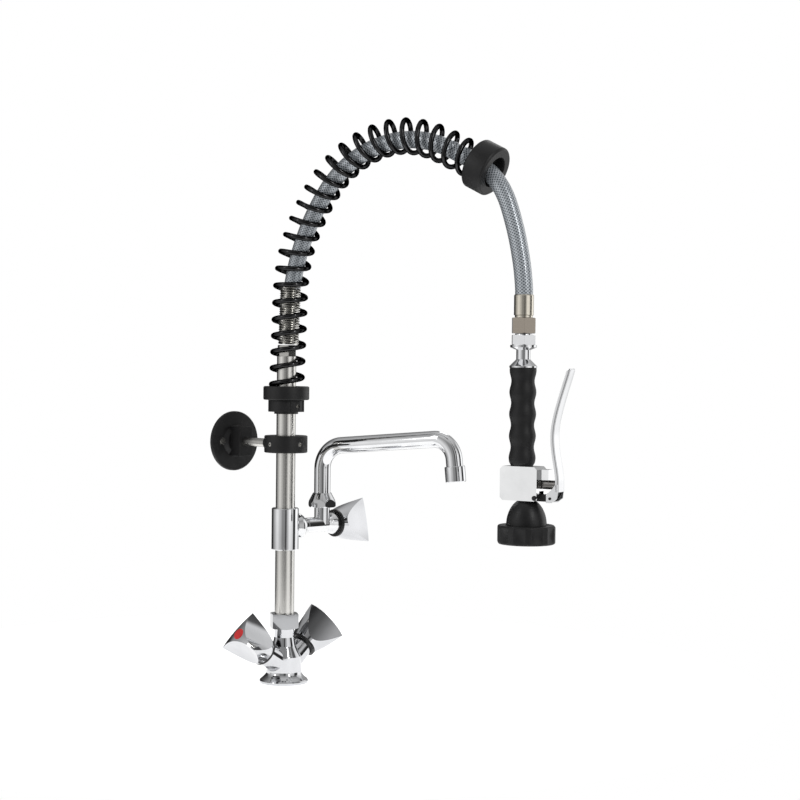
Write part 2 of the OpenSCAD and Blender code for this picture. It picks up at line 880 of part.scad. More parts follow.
module grip() {
    n = 40;
    color("black") at_valve(0) rotate_extrude() polygon(concat(
        [[8, grip_bottom], [11.5, grip_bottom]],
        [for (i = [1:n]) let (z = grip_bottom + 1 + (grip_top - grip_bottom - 1.5) * i / n)
            [grip_mean_r + grip_wave * cos(360 * (z - grip_crest_z) / grip_pitch), z]],
        [[14.4, grip_top], [8, grip_top]]
    ));
}

module valve_block() {
    h = block_top - block_bottom;
    bevel = 3;
    in_x = block_shift - block_len / 2;
    out_x = block_shift + block_len / 2;
    bore_z = plunger_z - block_bottom;
    color("gainsboro") at_valve(block_bottom) difference() {
        union() {
            rotate([90, 0, 0]) translate([0, 0, -block_depth / 2]) linear_extrude(block_depth)
                polygon([
                    [in_x, bevel], [in_x + bevel, 0], [out_x - bevel, 0], [out_x, bevel],
                    [out_x, h - bevel], [out_x - bevel, h], [in_x + bevel, h], [in_x, h - bevel]
                ]);
            translate([out_x - 1, -6, bore_z + 5]) cube([12, 12, 11]);
        }
        translate([0, 0, -1]) cylinder(r = 5, h = h + 2);
        translate([0, 0, bore_z]) rotate([0, 90, 0]) cylinder(r = plunger_r + fit, h = 40);
        translate([0, 0, bore_z]) rotate([0, -90, 0]) cylinder(r = 6, h = 40);
        translate([pin_x - valve_reach - 8, -slot_w / 2, -1]) cube([30, slot_w, 11.5]);
        translate([pin_x - valve_reach, 0, pin_z - block_bottom]) rotate([90, 0, 0])
            translate([0, 0, -30]) cylinder(r = pin_r, h = 60);
    }
}

module rear_plug() {
    rear = block_len / 2 - block_shift;
    color("gainsboro") at_valve(plunger_z) rotate([0, -90, 0]) {
        translate([0, 0, 8]) cylinder(r = 6, h = rear - 8);
        translate([0, 0, rear]) cylinder(r = 7.4, h = 2);
    }
}

// Coil between the rear plug and the plunger, at its pressed length
module return_spring() {
    turns = 5;
    n = turns * 10;
    length = 9;
    path = [for (i = [0:n]) let (a = 360 * turns * i / n)
        [length * i / n - 7.5, return_coil_r * cos(a), return_coil_r * sin(a)]];
    color("silver") at_valve(plunger_z) tube(path, [for (p = path) [1, 0, 0]], 0.5, 6);
}

module plunger() {
    color("dimgray") at_valve(plunger_z) rotate([0, 90, 0]) rotate_extrude() polygon([
        [0, 6], [plunger_r, 6], [plunger_r, 24.5], [3.6, 24.5], [3.6, 26], [plunger_r, 26],
        [plunger_r, 41], [plunger_r - 1, 42], [0, 42]
    ]);
}

module lever_pin() {
    color("black") in_arch() translate([pin_x, 0, pin_z]) rotate([90, 0, 0]) {
        translate([0, 0, -block_depth / 2]) cylinder(r = pin_r, h = block_depth);
        for (z = [-block_depth / 2 - 1.2, block_depth / 2]) translate([0, 0, z])
            cylinder(r = 2.6, h = 1.2);
    }
}

// Lever outline in the arch plane, between two depths inward from its outer face
function lever_face() = concat(
    [for (k = [0:8]) spline(lever_top + [7, 23], lever_top, lever_bend, lever_low, k / 8)],
    [for (k = [1:8]) spline(lever_top, lever_bend, lever_low, lever_heel - [0, 20], k / 8)],
    [lever_heel]
);

module lever_band(depth) {
    face = lever_face();
    polygon(concat(face, [for (i = [len(face) - 1:-1:0]) face[i] - [depth, 0]]));
}

module arch_plate(w, offset = 0) {
    rotate([90, 0, 0]) translate([0, 0, offset - w / 2]) linear_extrude(w) children();
}

// A channel: the outer web, two flanges, and ears that widen round the link; it narrows to the top
module lever() {
    color("gainsboro") in_arch() difference() {
        intersection() {
            union() {
                arch_plate(lever_w) lever_band(lever_t);
                for (side = [-1, 1]) arch_plate(flange_t, side * (lever_w - flange_t) / 2) {
                    lever_band(flange_depth);
                    polygon([
                        lever_heel + [0, 1], [lever_heel[0] - 1.5, rivet_z], lever_toe,
                        [ear_x, lever_toe[1]], [ear_x, rivet_z + 4], [338, rivet_z + 9],
                        lever_heel + [-flange_depth, 8], lever_heel + [0, 8]
                    ]);
                }
            }
            rotate([90, 0, 90]) linear_extrude(lever_top[0] + 50) polygon([
                [-lever_w / 2, 0], [lever_w / 2, 0], [lever_w / 2, lever_low[1]],
                [lever_top_w / 2, lever_top[1]], [-lever_top_w / 2, lever_top[1]],
                [-lever_w / 2, lever_low[1]]
            ]);
        }
        translate([rivet_x, 0, rivet_z]) rotate([90, 0, 0]) translate([0, 0, -lever_w])
            cylinder(r = rivet_r, h = 2 * lever_w);
    }
}

// Black arm from the pivot to the lever, with its rivet through the ears
module lever_link() {
    eye_r = 3.6;
    color("black") in_arch() {
        difference() {
            arch_plate(link_w) {
                translate([pin_x, pin_z]) circle(r = eye_r);
                polygon([
                    [pin_x, pin_z - eye_r], [rivet_x + 0.5, rivet_z - 3.5],
                    [rivet_x + 6.5, rivet_z + 6], [rivet_x - 1.5, rivet_z + 4],
                    [pin_x, pin_z + eye_r]
                ]);
            }
            translate([pin_x, 0, pin_z]) rotate([90, 0, 0]) translate([0, 0, -link_w])
                cylinder(r = pin_r + fit, h = 2 * link_w);
        }
        translate([rivet_x, 0, rivet_z]) rotate([90, 0, 0])
            translate([0, 0, -lever_w / 2 - 0.5]) cylinder(r = rivet_r, h = lever_w + 1);
    }
}

module spray_dome() {
    ledge = bumper_bottom + ledge_h;
    color("black") at_head(0) rotate_extrude() polygon(concat(
        [[5, ledge], [dome_r, ledge], [dome_r, bumper_top]],
        [for (i = [1:10]) let (a = 65 * i / 10)
            [dome_r * cos(a), bumper_top + (dome_top - bumper_top) * sin(a) / sin(65)]],
        [[5, dome_top]]
    ));
}

// Perforated plate that makes the spray
module spray_face() {
    color("silver") at_head(bumper_bottom + 2) difference() {
        cylinder(r = face_r, h = 3);
        translate([0, 0, 1]) cylinder(r = 5, h = 3);
        for (k = [0:2], a = [0:59.9:359 * min(k, 1)])
            rotate([0, 0, a + 30 * k]) translate([5.5 * k, 0, -1]) cylinder(r = 1, h = 6);
    }
}

module bumper() {
    r = bumper_d / 2;
    h = bumper_top - bumper_bottom;
    color("black") at_head(bumper_bottom) rotate([0, 0, 6]) intersection() {
        rotate_extrude() polygon([
            [face_r, 0], [r - 4, 0], [r - 1.2, 1.2], [r, 4], [r, h - 4], [r - 1.2, h - 1.2],
            [r - 4, h], [dome_r, h], [dome_r, ledge_h], [face_r, ledge_h]
        ]);
        translate([0, 0, -1]) cylinder(r = flat_r / cos(18), h = h + 2, $fn = 10);
    }
}

deck_seal();
seals();
mixer_body();
hot_headwork();
cold_headwork();
hot_spindle();
cold_spindle();
hot_handle();
cold_handle();
hot_ring();
cold_ring();
hot_index();
cold_index();
hot_screw();
cold_screw();
riser_nut();
riser();
tee_sleeve();
branch_boss();
side_valve();
side_headwork();
side_spindle();
side_handle();
side_ring();
side_index();
side_screw();
spout_nut();
spout();
aerator();
wall_plate();
wall_screws();
bracket_rod();
riser_clamp();
grub_screws();
spring_clamp();
spring_seat();
hose_coupling();
hose_sleeve();
spring_lower();
spring_upper();
end_cap();
hose_lower();
hose_upper();
hose_drop();
hose_ferrule();
swivel_nut();
valve_nut();
handle_tube();
grip();
valve_block();
rear_plug();
return_spring();
plunger();
lever_pin();
lever();
lever_link();
spray_dome();
spray_face();
bumper();
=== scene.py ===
import math

import bmesh
import bpy
from mathutils import Matrix, Vector


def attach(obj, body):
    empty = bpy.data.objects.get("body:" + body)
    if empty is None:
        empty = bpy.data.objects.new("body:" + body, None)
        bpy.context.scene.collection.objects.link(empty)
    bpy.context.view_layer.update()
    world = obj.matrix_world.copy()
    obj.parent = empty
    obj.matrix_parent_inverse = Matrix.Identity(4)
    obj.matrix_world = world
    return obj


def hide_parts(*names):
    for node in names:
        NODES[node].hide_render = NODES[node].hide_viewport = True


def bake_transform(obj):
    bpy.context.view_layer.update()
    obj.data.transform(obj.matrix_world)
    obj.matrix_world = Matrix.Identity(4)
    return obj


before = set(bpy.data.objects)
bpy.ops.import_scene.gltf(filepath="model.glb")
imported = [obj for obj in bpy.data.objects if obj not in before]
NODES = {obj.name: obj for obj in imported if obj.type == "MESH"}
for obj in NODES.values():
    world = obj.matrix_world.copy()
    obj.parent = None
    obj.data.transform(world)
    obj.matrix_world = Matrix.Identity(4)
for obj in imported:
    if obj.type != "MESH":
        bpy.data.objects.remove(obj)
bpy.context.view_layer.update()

MM = 0.001

# ---------- the arch plane: distance r from the riser axis, height z, sideways b ----------
ARCH_AZ = math.radians(-75)
OUT = Vector((math.cos(ARCH_AZ), math.sin(ARCH_AZ), 0))
SIDE = Vector((-math.sin(ARCH_AZ), math.cos(ARCH_AZ), 0))
UP = Vector((0, 0, 1))


def arch(r, z, b=0.0):
    return (OUT * r + SIDE * b + UP * z) * MM


# ---------- camera ----------
EYE_Z = 0.370
DISTANCE = 2.0
SHIFT_RIGHT = 0.130
PITCH = math.radians(-1.3)
ROLL = math.radians(0.6)
VIEW_AZ = math.radians(-45)
back = Vector((math.sin(VIEW_AZ), -math.cos(VIEW_AZ), 0))
right = Vector((math.cos(VIEW_AZ), math.sin(VIEW_AZ), 0))
camera_data = bpy.data.cameras.new("camera")
camera_data.sensor_width = 36  # mm, as the lens
camera_data.lens = 78.75
camera = bpy.data.objects.new("camera", camera_data)
bpy.context.scene.collection.objects.link(camera)
camera.location = right * SHIFT_RIGHT + back * DISTANCE + UP * EYE_Z
axes = Matrix((right, UP, back)).transposed()
camera.rotation_euler = (
    axes @ Matrix.Rotation(PITCH, 3, "X") @ Matrix.Rotation(ROLL, 3, "Z")
).to_euler()
bpy.context.scene.camera = camera


# ---------- node helpers for materials ----------
class Mat:
    """A Principled material with its node tree at hand."""

    def __init__(self, name, color, rough, metal=0.0):
        self.m = bpy.data.materials.new(name)
        self.m.use_nodes = True
        self.tree = self.m.node_tree
        self.bsdf = self.tree.nodes["Principled BSDF"]
        self.set("Base Color", (*color, 1))
        self.set("Roughness", rough)
        self.set("Metallic", metal)

    def set(self, socket, value):
        self.bsdf.inputs[socket].default_value = value

    def node(self, kind, **props):
        n = self.tree.nodes.new("ShaderNode" + kind)
        for k, v in props.items():
            setattr(n, k, v)
        return n

    def link(self, a, b):
        self.tree.links.new(a, b)

    def coords(self, scale=(1, 1, 1)):
        tc = self.node("TexCoord")
        mp = self.node("Mapping")
        mp.inputs["Scale"].default_value = scale
        self.link(tc.outputs["Object"], mp.inputs["Vector"])
        return mp.outputs["Vector"]

    def noise(self, scale, detail=3, rough=0.5, vector=None):
        n = self.node("TexNoise")
        n.inputs["Scale"].default_value = scale
        n.inputs["Detail"].default_value = detail
        n.inputs["Roughness"].default_value = rough
        if vector is not None:
            self.link(vector, n.inputs["Vector"])
        return n.outputs["Fac"]

    def ramp(self, fac, *stops):
        r = self.node("ValToRGB")
        e = r.color_ramp.elements
        for i, (pos, col) in enumerate(stops):
            el = e[i] if i < 2 else e.new(pos)
            el.position = pos
            el.color = (*col, 1) if isinstance(col, tuple) else (col, col, col, 1)
        self.link(fac, r.inputs["Fac"])
        return r.outputs["Color"]

    def math(self, op, a, b):
        n = self.node("Math", operation=op)
        for i, v in enumerate((a, b)):
            if isinstance(v, (int, float)):
                n.inputs[i].default_value = v
            else:
                self.link(v, n.inputs[i])
        return n.outputs[0]

    def span(self, fac, low, high):
        n = self.node("MapRange")
        n.inputs["To Min"].default_value = low
        n.inputs["To Max"].default_value = high
        self.link(fac, n.inputs["Value"])
        return n.outputs["Result"]

    def rough(self, fac, low, high):
        self.link(self.span(fac, low, high), self.bsdf.inputs["Roughness"])

    def color(self, col):
        self.link(col, self.bsdf.inputs["Base Color"])

    def bump(self, height, strength, distance=0.001):
        b = self.node("Bump")
        b.inputs["Strength"].default_value = strength
        b.inputs["Distance"].default_value = distance
        if self.bsdf.inputs["Normal"].is_linked:
            self.link(
                self.bsdf.inputs["Normal"].links[0].from_socket, b.inputs["Normal"]
            )
        self.link(height, b.inputs["Height"])
        self.link(b.outputs["Normal"], self.bsdf.inputs["Normal"])


def chrome(name, tint=(0.86, 0.865, 0.87), low=0.03, high=0.1, waves=0.05):
    m = Mat(name, tint, 0.05, 1.0)
    vec = m.coords()
    smudge = m.noise(38, 4, 0.6, vec)
    m.rough(smudge, low, high)
    m.color(
        m.ramp(
            m.noise(55, 2, 0.5, vec),
            (0.3, tuple(c * 0.93 for c in tint)),
            (0.7, tint),
        )
    )
    m.bump(m.noise(60, 1, 0.4, vec), waves, 0.0006)
    m.bump(m.noise(900, 2, 0.6, vec), 0.02, 0.0001)
    return m.m


RINGS = (0.06, 0.06, 6)  # stretched round the object: turned or drawn marks


def brushed(name, tint, low, high, depth=0.01):
    m = Mat(name, tint, 0.3, 1.0)
    vec = m.coords(RINGS)
    grain = m.noise(420, 3, 0.7, vec)
    m.rough(grain, low, high)
    m.color(
        m.ramp(
            m.noise(90, 3, 0.6, vec),
            (0.3, tuple(c * 0.94 for c in tint)),
            (0.75, tint),
        )
    )
    m.bump(grain, depth, 0.0002)
    return m.m


def plastic(name, tint, low, high, grain, depth, coat=0.0):
    m = Mat(name, tint, 0.45)
    m.set("Specular IOR Level", 0.3)
    vec = m.coords()
    m.rough(m.noise(70, 4, 0.6, vec), low, high)
    m.color(
        m.ramp(
            m.noise(120, 3, 0.6, vec),
            (0.3, tuple(c * 0.75 for c in tint)),
            (0.75, tuple(c * 1.25 for c in tint)),
        )
    )
    m.bump(m.noise(grain, 3, 0.6, vec), depth, 0.0002)
    if coat:
        m.set("Coat Weight", coat)
        m.set("Coat Roughness", 0.12)
    return m.m


def enamel(name, tint, low, high, grain, depth):
    """Glossy black that stays black at its edges: a metal with a dark edge tint."""
    material = plastic(name, tint, low, high, grain, depth)
    inputs = material.node_tree.nodes["Principled BSDF"].inputs
    inputs["Metallic"].default_value = 1.0
    inputs["Specular Tint"].default_value = (0.05, 0.05, 0.05, 1)
    return material


CHROME = chrome("chrome", (0.7, 0.705, 0.715))
# Brighter copy of the chrome: its higher tint paints light onto the valve block's faces.
CHROME_WITH_PAINTED_LIGHT = chrome("chrome_with_painted_light", (0.82, 0.825, 0.83), 0.04, 0.1, 0.08)
# Much darker copy of the chrome: its low tint paints shade onto the riser nut's faces.
CHROME_WITH_DEEP_PAINTED_SHADE = chrome("chrome_with_deep_painted_shade", (0.36, 0.365, 0.375))
# Darker copy of the chrome: its lower tint paints shade into the mixer body and the three handles.
CHROME_WITH_PAINTED_SHADE = chrome("chrome_with_painted_shade", (0.58, 0.585, 0.6), 0.03, 0.09, 0.12)
STEEL = brushed("steel", (0.62, 0.61, 0.585), 0.2, 0.27, 0.012)
SLEEVE = brushed("sleeve_steel", (0.6, 0.59, 0.56), 0.14, 0.22)
BRASS = brushed("brass", (0.6, 0.49, 0.34), 0.2, 0.35, 0.06)
FERRULE = brushed("ferrule_brass", (0.62, 0.58, 0.5), 0.14, 0.22)
DARK_NICKEL = brushed("dark_nickel", (0.3, 0.265, 0.225), 0.12, 0.2)
DARK_STEEL = brushed("dark_steel", (0.13, 0.125, 0.12), 0.16, 0.26)
BLACK_METAL = plastic("black_powder_coat", (0.009, 0.009, 0.0095), 0.36, 0.5, 1400, 0.2)
BLACK_PLASTIC = plastic("black_plastic", (0.008, 0.008, 0.0085), 0.3, 0.45, 700, 0.08)
RUBBER = plastic("rubber", (0.008, 0.008, 0.0085), 0.42, 0.6, 500, 0.15)
SPRING_PAINT = enamel("spring_paint", (0.035, 0.035, 0.036), 0.08, 0.14, 160, 0.03)
RED = plastic("red_index", (0.62, 0.02, 0.02), 0.15, 0.25, 300, 0.03, 0.5)
BLUE = plastic("blue_index", (0.02, 0.1, 0.55), 0.15, 0.25, 300, 0.03, 0.5)

LOOK = {
    CHROME: "tee_sleeve branch_boss side_valve spout_nut spout aerator side_index "
    "valve_nut handle_tube rear_plug lever",
    # These chrome copies differ only in tint: the darker ones paint shade, the brighter one paints
    # light.
    CHROME_WITH_DEEP_PAINTED_SHADE: "riser_nut",
    CHROME_WITH_PAINTED_SHADE: "mixer_body hot_handle cold_handle side_handle",
    CHROME_WITH_PAINTED_LIGHT: "valve_block",
    STEEL: "riser bracket_rod hot_screw cold_screw side_screw wall_screws grub_screws "
    "return_spring spray_face",
    SLEEVE: "hose_sleeve hose_coupling",
    BRASS: "hot_headwork cold_headwork side_headwork hot_spindle cold_spindle side_spindle",
    FERRULE: "hose_ferrule",
    DARK_NICKEL: "swivel_nut",
    DARK_STEEL: "plunger",
    BLACK_METAL: "wall_plate riser_clamp spring_clamp spring_seat end_cap lever_pin",
    BLACK_PLASTIC: "hot_ring cold_ring side_ring lever_link spray_dome",
    RUBBER: "deck_seal seals grip bumper",
    SPRING_PAINT: "spring_lower spring_upper",
    RED: "hot_index",
    BLUE: "cold_index",
}
for material, names in LOOK.items():
    for n in names.split():
        for s in NODES[n].material_slots:
            s.material = material


# ---------- meshes ----------
def add_mesh(name, verts, faces, material, uvs=None):
    mesh = bpy.data.meshes.new(name)
    mesh.from_pydata([tuple(v) for v in verts], [], faces)
    if uvs:
        layer = mesh.uv_layers.new(name="UVMap")
        for loop in mesh.loops:
            layer.data[loop.index].uv = uvs[loop.vertex_index]
    mesh.materials.append(material)
    for p in mesh.polygons:
        p.use_smooth = True
    mesh.validate()
    obj = bpy.data.objects.new(name, mesh)
    bpy.context.scene.collection.objects.link(obj)
    return obj


def sweep(name, path, radius, sides, material, ref):
    """Round rod along path; ref(i) is a direction never parallel to it there."""
    verts, uvs, run = [], [], 0.0
    count = len(path)
    for i, p in enumerate(path):
        if i:
            run += (p - path[i - 1]).length
        t = (path[min(i + 1, count - 1)] - path[max(i - 1, 0)]).normalized()
        u = ref(i).cross(t).normalized()
        v = t.cross(u)
        for k in range(sides + 1):
            a = 2 * math.pi * k / sides
            verts.append(p + (u * math.cos(a) + v * math.sin(a)) * radius)
            uvs.append((k / sides, run))
    row = sides + 1
    faces = [
        (i * row + k, i * row + k + 1, (i + 1) * row + k + 1, (i + 1) * row + k)
        for i in range(count - 1)
        for k in range(sides)
    ]
    faces.append(tuple(range(sides - 1, -1, -1)))
    faces.append(tuple((count - 1) * row + k for k in range(sides)))
    return add_mesh(name, verts, faces, material, uvs)


# ---------- the hose and spring line, as in the CAD source (mm, in the arch plane) ----------
SPRING_Z0, RISE_LEAN, RISE, FALL = 329.4, 2.2, 91, 45.5
ARCS = ((252, 34), (127, 81))  # radius, turn
ARCS_END = RISE + sum(r * math.radians(turn) for r, turn in ARCS)
CAP_S = ARCS_END + FALL
PITCH_MM, SPRING_OD, WIRE_D = 18.45, 41, 5.6
FIRST_TIP, SPRING_ASIDE = 83.3, 4.8
COIL_R = (SPRING_OD - WIRE_D) / 2
HOSE_D = 19
SLEEVE_END = 124
HEAD_AXIS_R, FERRULE_TOP = 300, 440.6  # the spray valve's axis, and where the hose enters it
DROP = [
    (228, 590), (243, 581.6), (256, 572.8), (266, 562.5), (274.5, 550),
    (282, 532.8), (291, 502.5), (297, 473), (299.7, 450), (HEAD_AXIS_R, FERRULE_TOP),
]  # fmt: skip


def heading(a):
    return Vector((math.cos(a), math.sin(a)))


def path_at(s):
    """Point and heading (radians) at distance s along the spring's centreline."""
    a = math.radians(90 - RISE_LEAN)
    p = Vector((0, SPRING_Z0)) + min(s, RISE) * heading(a)
    s -= RISE
    for r, turn in ARCS:
        if s <= 0:
            return p, a
        b = a - min(s / r, math.radians(turn))
        p = p + r * Vector((math.sin(a) - math.sin(b), math.cos(b) - math.cos(a)))
        s -= r * (a - b)
        a = b
    return p + max(s, 0) * heading(a), a


def point_at(s):
    return path_at(s)[0]


def curve(q, t):
    """Point at t, 0 to 1, on the smooth curve from q[1] to q[2]; q[0] and q[3] are their neighbours."""
    return 0.5 * (
        2 * q[1]
        + (q[2] - q[0]) * t
        + (2 * q[0] - 5 * q[1] + 4 * q[2] - q[3]) * t * t
        + (3 * q[1] - q[0] - 3 * q[2] + q[3]) * t * t * t
    )


def route_at(u):
    """Point u on the hanging hose's route, where whole numbers are the points of DROP."""
    i = min(int(u), len(DROP) - 2)
    q = [Vector(DROP[min(max(j, 0), len(DROP) - 1)]) for j in (i - 1, i, i + 1, i + 2)]
    return curve(q, u - i)


TUCK = 5  # how far the hose runs on inside the sleeve and the ferrule
INNER_STEPS, FREE_STEPS = 90, 96
inner_from, inner_to = SLEEVE_END - TUCK, ARCS_END + 3
inner = [
    point_at(inner_from + (inner_to - inner_from) * i / INNER_STEPS)
    for i in range(INNER_STEPS + 1)
]
free = [point_at(ARCS_END + 2), point_at(ARCS_END + 6)]
free += [route_at((len(DROP) - 1) * i / FREE_STEPS) for i in range(FREE_STEPS + 1)]
free.append(Vector((HEAD_AXIS_R, FERRULE_TOP - TUCK)))

STRANDS, STRAND_LAY = 14, 0.046  # strands each way, and the metres along in which one goes round
hose_mat = Mat("braided_hose", (0.3, 0.33, 0.36), 0.2)


def braid(m):
    """Diamond braid of bright strands under a clear jacket; U runs round, V along in metres."""
    tc = m.node("TexCoord")
    sep = m.node("SeparateXYZ")
    m.link(tc.outputs["UV"], sep.inputs[0])
    around = m.math("MULTIPLY", sep.outputs["X"], STRANDS)
    along = m.math("MULTIPLY", sep.outputs["Y"], STRANDS / STRAND_LAY)
    strands = []
    for op in ("ADD", "SUBTRACT"):
        w = m.math(op, around, along)
        f = m.math("FRACT", w, 0)
        strands.append(m.math("ABSOLUTE", m.math("SUBTRACT", f, 0.5), 0))
    a, b = strands
    weave = m.math("MAXIMUM", a, b)
    shade = m.ramp(
        weave,
        (0.2, (0.07, 0.085, 0.1)),
        (0.5, (0.6, 0.64, 0.68)),
    )
    m.color(shade)
    m.bump(weave, 0.5, 0.0004)
    m.rough(m.noise(60, 3, 0.5, m.coords()), 0.22, 0.36)
    m.set("Coat Weight", 0.7)
    m.set("Coat Roughness", 0.08)
    m.set("Metallic", 0.3)


braid(hose_mat)


def hose_piece(name, route):
    path = [arch(p.x, p.y) for p in route]
    piece = sweep(name, path, HOSE_D / 2 * MM, 40, hose_mat.m, lambda i: SIDE)
    return piece, path


hose_in, hose_in_path = hose_piece("hose_in_spring", inner)
hose_out, hose_out_path = hose_piece("hose_hanging", free)
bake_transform(hose_in)
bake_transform(hose_out)
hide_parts("hose_lower")
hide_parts("hose_upper", "hose_drop")


# ---------- the spring, with the hose lying against the inside of its bend ----------
def ease(t):
    t = min(max(t, 0), 1)
    return t * t * (3 - 2 * t)


def coil_at(s):
    f = 2 * math.pi * (s - FIRST_TIP) / PITCH_MM
    p, a = path_at(s)
    aside = SPRING_ASIDE * ease((s - 85) / 90) * ease((CAP_S - 45 - s) / 80)
    p = p + (aside + COIL_R * math.cos(f)) * Vector((-math.sin(a), math.cos(a)))
    return arch(p.x, p.y, -COIL_R * math.sin(f))


CAP_WALL, STEPS_PER_TURN = 3, 40
SPRING_END = CAP_S - CAP_WALL - WIRE_D / 2
steps = int(SPRING_END / PITCH_MM * STEPS_PER_TURN)
ss = [SPRING_END * i / steps for i in range(steps + 1)]
tangent = [arch(*heading(path_at(s)[1])) / MM for s in ss]
spring = sweep(
    "spring_wire",
    [coil_at(s) for s in ss],
    WIRE_D / 2 * MM,
    16,
    SPRING_PAINT,
    lambda i: tangent[i],
)
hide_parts("spring_lower", "spring_upper")
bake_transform(spring)

# ---------- the bumper, with its shallow flutes ----------
AROUND, WEB, RECESS = 240, 0.35, 10  # WEB: how far each flute reaches past half a wave
HEAD_R, BUMPER_TOP, BUMPER_BOTTOM, DOME_R, FACE_R = 306, 197.4, 177.4, 21.5, 16
BUMPER_R, FLUTES, FLUTE_DEPTH, ROUND = 31, 10, 2.2, 2.6


def bumper_profile():
    """Radius, height and how deep a flute is there, from the bore up and round to the ledge."""
    h = BUMPER_TOP - BUMPER_BOTTOM
    inner_r = BUMPER_R - ROUND
    pts = [(FACE_R, 0, 0), (inner_r, 0, 0)]
    for i in range(1, 8):
        a = math.pi / 2 * i / 7
        r, z = inner_r + ROUND * math.sin(a), ROUND * (1 - math.cos(a))
        pts.append((r, z, i / 7 * 0.5))
    for i in range(1, 12):
        t = i / 12
        pts.append((BUMPER_R, ROUND + (h - 2 * ROUND) * t, 0.5 + 0.5 * math.sin(math.pi * t)))
    for i in range(0, 8):
        a = math.pi / 2 * i / 7
        r, z = inner_r + ROUND * math.cos(a), h - ROUND + ROUND * math.sin(a)
        pts.append((r, z, (1 - i / 7) * 0.5))
    pts += [(DOME_R + 0.6, h, 0), (DOME_R, h - 0.6, 0)]
    return pts + [(DOME_R, RECESS, 0), (FACE_R, RECESS, 0)]


def make_bumper():
    profile = bumper_profile()
    centre = arch(HEAD_R, BUMPER_BOTTOM)
    verts = []
    for k in range(AROUND):
        a = 2 * math.pi * k / AROUND
        wave = max(0.0, math.cos(FLUTES * a + 1.0) + WEB) / (1 + WEB)
        cut = FLUTE_DEPTH * wave ** 0.5
        for r, z, deep in profile:
            q = (r - cut * deep) * MM
            ring = OUT * (q * math.cos(a)) + SIDE * (q * math.sin(a))
            verts.append(centre + ring + UP * (z * MM))
    n = len(profile)
    faces = []
    for k in range(AROUND):
        here, after = k * n, ((k + 1) % AROUND) * n
        faces += [
            (here + i, after + i, after + (i + 1) % n, here + (i + 1) % n) for i in range(n)
        ]
    return add_mesh("bumper_fluted", verts, faces, RUBBER)


bumper = make_bumper()
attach(bumper, "spray_valve")
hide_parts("bumper")

# ---------- the squeeze lever, a smooth channel that narrows to the top ----------
LEVER_TOP, LEVER_BEND = Vector((357.8, 362.6)), Vector((340.2, 299))
LEVER_LOW, LEVER_HEEL = Vector((346, 247)), Vector((346, 234))
LEVER_TOE, EAR_X, RIVET_Z = Vector((338.5, 222.5)), 332, 227
LEVER_W, LEVER_TOP_W, SHEET, EDGE = 16, 14.5, 1.3, 1.6  # EDGE rounds the outer corners
FLANGE, FLANGE_LOSS = 3.8, 0.2  # flange depth, and how much less it is at the top
NOSE_ROWS, NOSE_FLANGE = 2, 2.2  # the first rows close the rounded top
FILLET, EAR_SHEET, CLEAR = 0.6, 1.1, 0.1
TOP_ROWS, BEND_ROWS, LOW_ROWS = 28, 22, 6


def lever_line():
    """Centreline of the lever's outer face, from its top down to its heel."""
    above, below = LEVER_TOP + Vector((7, 23)), LEVER_HEEL - Vector((0, 20))
    top = (above, LEVER_TOP, LEVER_BEND, LEVER_LOW)
    bend = (LEVER_TOP, LEVER_BEND, LEVER_LOW, below)
    line = [curve(top, i / TOP_ROWS) for i in range(TOP_ROWS)]
    line += [curve(bend, i / BEND_ROWS) for i in range(BEND_ROWS)]
    return line + [LEVER_LOW.lerp(LEVER_HEEL, i / LOW_ROWS) for i in range(LOW_ROWS + 1)]


def lever_section(row, k):
    """Outline (sideways, outward) of the channel; k is 0 at the bottom and 1 at the top."""
    half = (LEVER_W + (LEVER_TOP_W - LEVER_W) * k) / 2 - CLEAR
    deep = FLANGE - FLANGE_LOSS * k
    if row < NOSE_ROWS:
        half -= (NOSE_ROWS - row) ** 2 * 0.3
        deep = NOSE_FLANGE
    arc = [math.radians(15 * j) for j in range(7)]
    side = [(half, -deep)] + [
        (half - EDGE + EDGE * math.cos(a), -EDGE + EDGE * math.sin(a)) for a in arc
    ]
    wall = half - SHEET
    inside = [(wall, -deep), (wall, -SHEET - FILLET), (wall - FILLET, -SHEET)]
    ring = side + [(-b, n) for b, n in reversed(side)]
    return ring + [(-b, n) for b, n in inside] + list(reversed(inside))


def lever_rows():
    line = lever_line()
    rows = []
    for i, p in enumerate(line):
        t = (line[min(i + 1, len(line) - 1)] - line[max(i - 1, 0)]).normalized()
        out = Vector((-t.y, t.x))
        k = min(max((p.y - LEVER_LOW.y) / (LEVER_TOP.y - LEVER_LOW.y), 0), 1)
        rows.append([arch(*(p + out * n), b) for b, n in lever_section(i, k)])
    return rows


def add_ears(verts, faces):
    """The two cheeks at the heel that the rivet and the pin go through."""
    outline = [
        LEVER_HEEL + Vector((-0.2, 1)), Vector((LEVER_HEEL.x - 1.5, RIVET_Z)), LEVER_TOE,
        Vector((EAR_X, LEVER_TOE.y)), Vector((EAR_X, RIVET_Z + 4)), Vector((338, RIVET_Z + 9)),
        LEVER_HEEL + Vector((-3.6, 8)), LEVER_HEEL + Vector((-0.2, 8)),
    ]  # fmt: skip
    m = len(outline)
    outer = LEVER_W / 2 - CLEAR
    for sign in (-1, 1):
        base = len(verts)
        for depth in (outer, outer - EAR_SHEET):
            verts += [arch(q.x, q.y, sign * depth) for q in outline]
        faces.append(tuple(base + k for k in range(m)))
        faces.append(tuple(base + m + k for k in reversed(range(m))))
        faces += [
            (base + k, base + m + k, base + m + (k + 1) % m, base + (k + 1) % m)
            for k in range(m)
        ]


